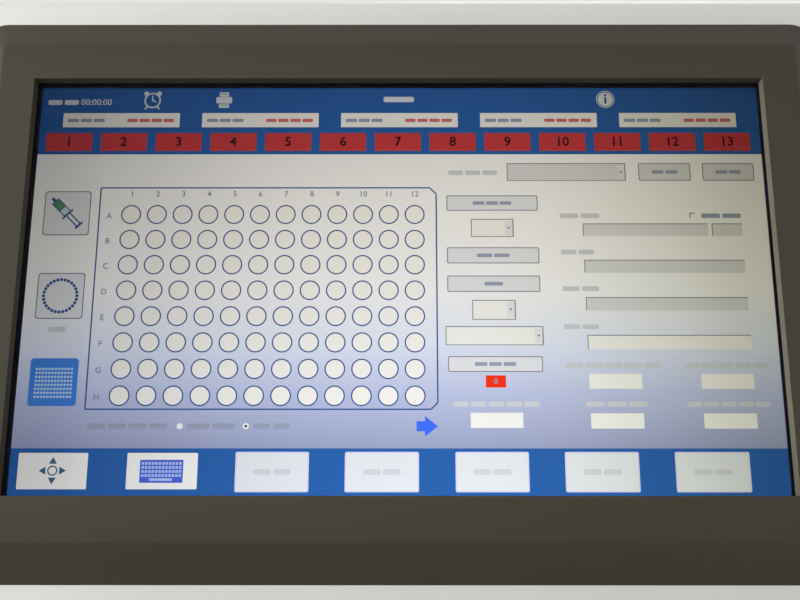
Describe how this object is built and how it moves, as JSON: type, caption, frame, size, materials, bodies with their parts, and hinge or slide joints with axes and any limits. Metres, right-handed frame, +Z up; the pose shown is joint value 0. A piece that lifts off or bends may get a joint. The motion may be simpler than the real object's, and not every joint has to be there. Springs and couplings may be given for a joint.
{
  "type": "cell culture analyzer",
  "caption": "Benchtop cell culture analyzer with a tilted touch display, sample and reagent drawers, a tinted sampler window and a service door.",
  "frame": {"origin": "on the bench under the middle of the machine's bounding box", "axes": "+Z up, the front with the display faces -Y, +X to the right seen from the front"},
  "size_m": [0.52, 0.542, 0.6238],
  "materials": {
    "body_plastic": "fine texture",
    "bezel_plastic": "fine texture",
    "dark_plastic": "matt",
    "foot_rubber": "matt",
    "sheet_steel": "satin",
    "alloy": "satin",
    "steel": "ground",
    "tinted_acrylic": "polished",
    "display_glass": "anti-glare",
    "display_picture": "gloss",
    "white_plastic": "matt",
    "clear_plastic": "gloss",
    "blue_plastic": "matt",
    "amber_plastic": "satin",
    "tube_silicone": "satin",
    "board_green": "satin"
  },
  "bodies": {
    "housing": {"base_pan": "sheet_steel", "feet": "foot_rubber", "front_frame": "body_plastic", "upper_front": "body_plastic", "left_cover": "body_plastic", "right_cover": "body_plastic", "top_cover": "body_plastic", "rear_cover": "body_plastic", "bezel": "bezel_plastic", "touch_glass": "display_glass", "lcd_panel": "display_picture", "display_back": "dark_plastic", "driver_board": "board_green", "bulkhead": "alloy", "sample_cage": "alloy", "reagent_cage": "alloy", "sampler_bay": "white_plastic", "pump_bay": "white_plastic", "sample_rails": "steel", "reagent_rails": "steel", "gantry_rods": "steel", "wash_cup": "white_plastic", "hinge_pins": "steel", "sample_port": "blue_plastic", "pump_head_lower": "dark_plastic", "pump_head_upper": "dark_plastic", "pump_tube_lower": "tube_silicone", "pump_tube_upper": "tube_silicone", "pump_motors": "dark_plastic", "sensor_module": "white_plastic", "fan_frame": "dark_plastic", "fan_guard": "steel", "power_entry": "dark_plastic", "connector_block": "dark_plastic", "power_supply": "alloy", "main_board": "board_green"},
    "sample_drawer": {"sample_drawer_front": "body_plastic", "sample_tray": "sheet_steel", "sample_slides": "steel", "carrier_rods": "steel"},
    "plate_carriage": {"plate_carrier": "alloy", "sample_plate": "clear_plastic"},
    "gantry": {"gantry_carriage": "alloy", "probe_guide": "steel"},
    "probe": {"probe_holder": "dark_plastic", "probe_needle": "steel"},
    "window": {"sampler_window": "tinted_acrylic"},
    "door": {"service_door": "body_plastic"},
    "reagent_drawer": {"reagent_drawer_front": "body_plastic", "reagent_tray": "sheet_steel", "reagent_slides": "steel", "calibrator_pack": "white_plastic", "buffer_pack": "white_plastic", "waste_bottle": "amber_plastic"},
    "rotor_lower": {"pump_rotor_lower": "white_plastic"},
    "rotor_upper": {"pump_rotor_upper": "white_plastic"},
    "lever": {"latch_lever": "blue_plastic"},
    "fan": {"fan_rotor": "dark_plastic"},
    "rocker": {"power_rocker": "dark_plastic"}
  },
  "joints": [
    {"name": "sample_drawer_slide", "type": "slide", "parent": "housing", "child": "sample_drawer", "axis": [0, -1, 0], "range_m": [0, 0.165]},
    {"name": "plate_carrier_slide", "type": "slide", "parent": "sample_drawer", "child": "plate_carriage", "axis": [0, 1, 0], "range_m": [0, 0.063]},
    {"name": "gantry_slide", "type": "slide", "parent": "housing", "child": "gantry", "axis": [-1, 0, 0], "range_m": [0, 0.1355]},
    {"name": "probe_slide", "type": "slide", "parent": "gantry", "child": "probe", "axis": [0, 0, -1], "range_m": [0, 0.041]},
    {"name": "window_hinge", "type": "hinge", "parent": "housing", "child": "window", "pos_m": [-0.131, -0.253, 0.31], "axis": [-1, 0, 0], "range_deg": [0, 88]},
    {"name": "door_hinge", "type": "hinge", "parent": "housing", "child": "door", "pos_m": [0.239, -0.2526, 0.239], "axis": [0, 0, 1], "range_deg": [0, 100]},
    {"name": "reagent_drawer_slide", "type": "slide", "parent": "housing", "child": "reagent_drawer", "axis": [0, -1, 0], "range_m": [0, 0.165]},
    {"name": "pump_lower_spin", "type": "hinge", "parent": "housing", "child": "rotor_lower", "pos_m": [0.072, -0.2075, 0.206], "axis": [0, 1, 0], "continuous": true},
    {"name": "pump_upper_spin", "type": "hinge", "parent": "housing", "child": "rotor_upper", "pos_m": [0.072, -0.2075, 0.28], "axis": [0, 1, 0], "continuous": true},
    {"name": "lever_turn", "type": "hinge", "parent": "housing", "child": "lever", "pos_m": [0.176, -0.2298, 0.229], "axis": [0, 1, 0], "range_deg": [0, 90]},
    {"name": "fan_spin", "type": "hinge", "parent": "housing", "child": "fan", "pos_m": [-0.11, 0.247, 0.444], "axis": [0, 1, 0], "continuous": true},
    {"name": "power_rocker_tilt", "type": "hinge", "parent": "housing", "child": "rocker", "pos_m": [0.132, 0.261, 0.084], "axis": [1, 0, 0], "range_deg": [0, 20]}
  ]
}
